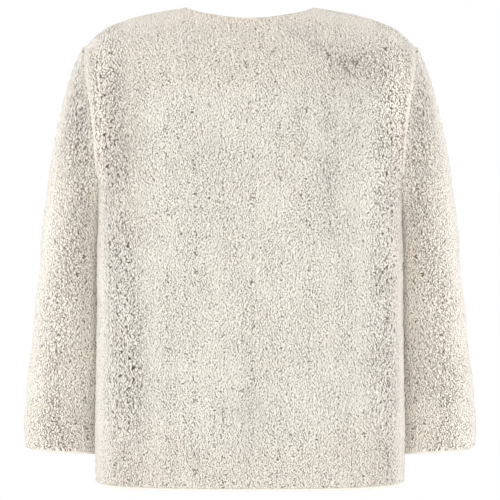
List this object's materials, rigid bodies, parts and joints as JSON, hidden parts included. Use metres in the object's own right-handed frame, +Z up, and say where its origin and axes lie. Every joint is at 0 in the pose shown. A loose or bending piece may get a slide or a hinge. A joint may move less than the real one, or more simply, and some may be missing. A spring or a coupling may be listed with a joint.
{
  "type": "zip-up pile fleece jacket",
  "caption": "Collarless zip-up pile fleece jacket with dropped shoulders and long sleeves, hollow as worn, bound at neck, hem and cuffs.",
  "frame": {"origin": "middle of the neck opening, level with the two points where the shoulder seams meet the neck, where the wearer's shoulders hold the jacket up", "axes": "+Z up, -Y the wearer's front (zip side), +Y the back, +X the wearer's left"},
  "size_m": [0.6572, 0.2679, 0.69],
  "materials": {
    "pile_fleece": "ivory curled pile, matt",
    "fleece_backing": "fine knitted backing, matt",
    "binding": "smooth folded strip, matt",
    "zip_tape": "woven tape, matt",
    "zip_teeth": "moulded ivory plastic",
    "zip_metal": "satin nickel"
  },
  "bodies": {
    "jacket": {"back": "pile_fleece", "front_left": "pile_fleece", "front_right": "pile_fleece", "sleeve_left": "pile_fleece", "sleeve_right": "pile_fleece", "neck_binding": "binding", "hem_binding": "binding", "cuff_binding_left": "binding", "cuff_binding_right": "binding", "zip_tape_left": "zip_tape", "zip_tape_right": "zip_tape", "zip_slider": "zip_metal", "zip_box": "zip_teeth"},
    "pull": {"zip_pull_tab": "zip_metal"}
  },
  "joints": [
    {"name": "pull_swing", "type": "hinge", "parent": "jacket", "child": "pull", "pos_m": [0, -0.09304, -0.06566], "axis": [-1, 0, 0], "range_deg": [0, 165]}
  ]
}
